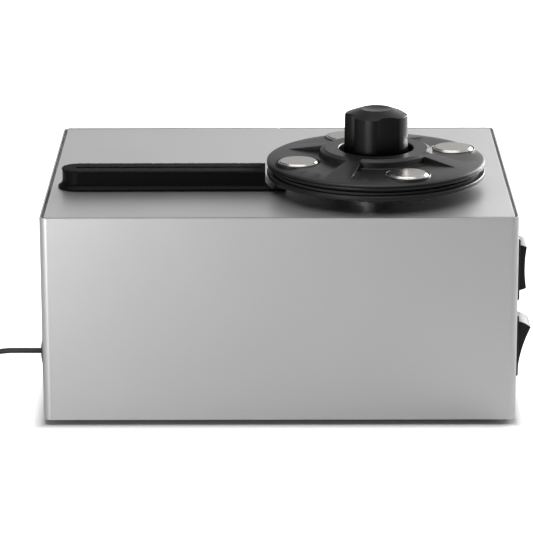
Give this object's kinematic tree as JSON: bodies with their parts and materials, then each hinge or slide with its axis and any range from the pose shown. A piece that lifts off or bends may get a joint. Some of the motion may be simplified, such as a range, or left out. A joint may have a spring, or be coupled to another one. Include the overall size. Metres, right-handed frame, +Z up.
{
  "type": "record cleaning machine",
  "caption": "Silver folded sheet case with a black velvet suction bar on top, a motor driven platter under a magnetic record clamp with a scalloped knob, and rocker switches on its side.",
  "frame": {"origin": "middle of the outline at the bottom of the feet, leaving out the lead", "axes": "+X to the right seen from the front, +Y to the back, +Z up"},
  "size_m": [0.3245, 0.1944, 0.1409],
  "materials": {
    "satin_sheet": "bead blasted and anodised, satin",
    "satin_plate": "bead blasted and anodised, satin",
    "grey_plate": "matt grey",
    "bare_aluminium": "turned and extruded",
    "zinc_steel": "zinc plated",
    "polished_steel": "ground and polished",
    "nickel_plate": "nickel plated, slightly brushed",
    "black_bar": "matt black",
    "black_velvet": "short black pile",
    "black_rubber": "matt",
    "black_plastic": "moulded",
    "moulded_black": "moulded, fine satin grain",
    "knob_black": "semi gloss",
    "switch_black": "semi gloss",
    "milky_plastic": "translucent white",
    "pale_plastic": "natural white",
    "clear_hose": "milky",
    "board_green": "solder mask",
    "brass_parts": "plain",
    "black_lead": "smooth sheath"
  },
  "bodies": {
    "case": {"case_wrap": "satin_sheet", "seam_strip": "bare_aluminium", "top_plate": "satin_plate", "base_plate": "grey_plate", "corner_posts": "bare_aluminium", "tie_screws": "zinc_steel", "foot_front_left": "black_rubber", "foot_front_right": "black_rubber", "foot_rear_left": "black_rubber", "foot_rear_right": "black_rubber", "foot_screws": "zinc_steel", "suction_bar": "black_bar", "velvet_pad": "black_velvet", "bar_seal": "black_rubber", "bar_screws": "zinc_steel", "suction_elbow": "black_plastic", "suction_hose": "clear_hose", "waste_tank": "milky_plastic", "tank_lid": "black_plastic", "air_hose": "clear_hose", "drain_spigot": "black_plastic", "drain_hose": "clear_hose", "blower_housing": "black_plastic", "blower_cover": "black_plastic", "blower_motor": "zinc_steel", "bearing_housing": "bare_aluminium", "bearing_upper": "polished_steel", "bearing_lower": "polished_steel", "shaft_seal": "black_rubber", "deck_screws": "zinc_steel", "gearbox": "zinc_steel", "drive_motor": "zinc_steel", "motor_bracket": "grey_plate", "control_board": "board_green", "board_components": "black_plastic", "board_standoffs": "brass_parts", "rotation_switch": "switch_black", "pump_switch": "switch_black", "switch_terminals": "brass_parts", "cord_grommet": "black_rubber", "power_lead": "black_lead", "power_lead_coil": "black_lead", "power_plug": "black_plastic"},
    "platter": {"spindle": "polished_steel", "platter_disc": "moulded_black", "platter_pad": "black_rubber", "platter_magnets": "nickel_plate", "shaft_coupling": "bare_aluminium"},
    "clamp": {"clamp_disc": "moulded_black", "clamp_seal": "black_rubber", "clamp_knob": "knob_black", "clamp_bush": "brass_parts", "clamp_magnet_right": "nickel_plate", "clamp_magnet_rear": "nickel_plate", "clamp_magnet_left": "nickel_plate", "clamp_magnet_front": "nickel_plate"},
    "blower_rotor": {"blower_impeller": "pale_plastic"},
    "upper_rocker": {"rotation_rocker": "switch_black"},
    "lower_rocker": {"pump_rocker": "switch_black"},
    "cap": {"drain_cap": "black_rubber"}
  },
  "joints": [
    {"name": "platter_spin", "type": "hinge", "parent": "case", "child": "platter", "pos_m": [0.04426, -0.03785, 0.102], "axis": [0, 0, 1], "continuous": true},
    {"name": "clamp_lift", "type": "slide", "parent": "platter", "child": "clamp", "axis": [0, 0, 1], "range_m": [0, 0.04]},
    {"name": "blower_spin", "type": "hinge", "parent": "case", "child": "blower_rotor", "pos_m": [0.05226, 0.03575, 0.045], "axis": [0, 0, 1], "continuous": true},
    {"name": "rotation_rock", "type": "hinge", "parent": "case", "child": "upper_rocker", "pos_m": [0.10976, -0.06975, 0.0723], "axis": [0, 1, 0], "range_deg": [-16.5, 16.5]},
    {"name": "pump_rock", "type": "hinge", "parent": "case", "child": "lower_rocker", "pos_m": [0.10976, -0.06975, 0.0344], "axis": [0, 1, 0], "range_deg": [-33, 0]},
    {"name": "drain_cap_pull", "type": "slide", "parent": "case", "child": "cap", "axis": [0, 1, 0], "range_m": [0, 0.012]}
  ]
}
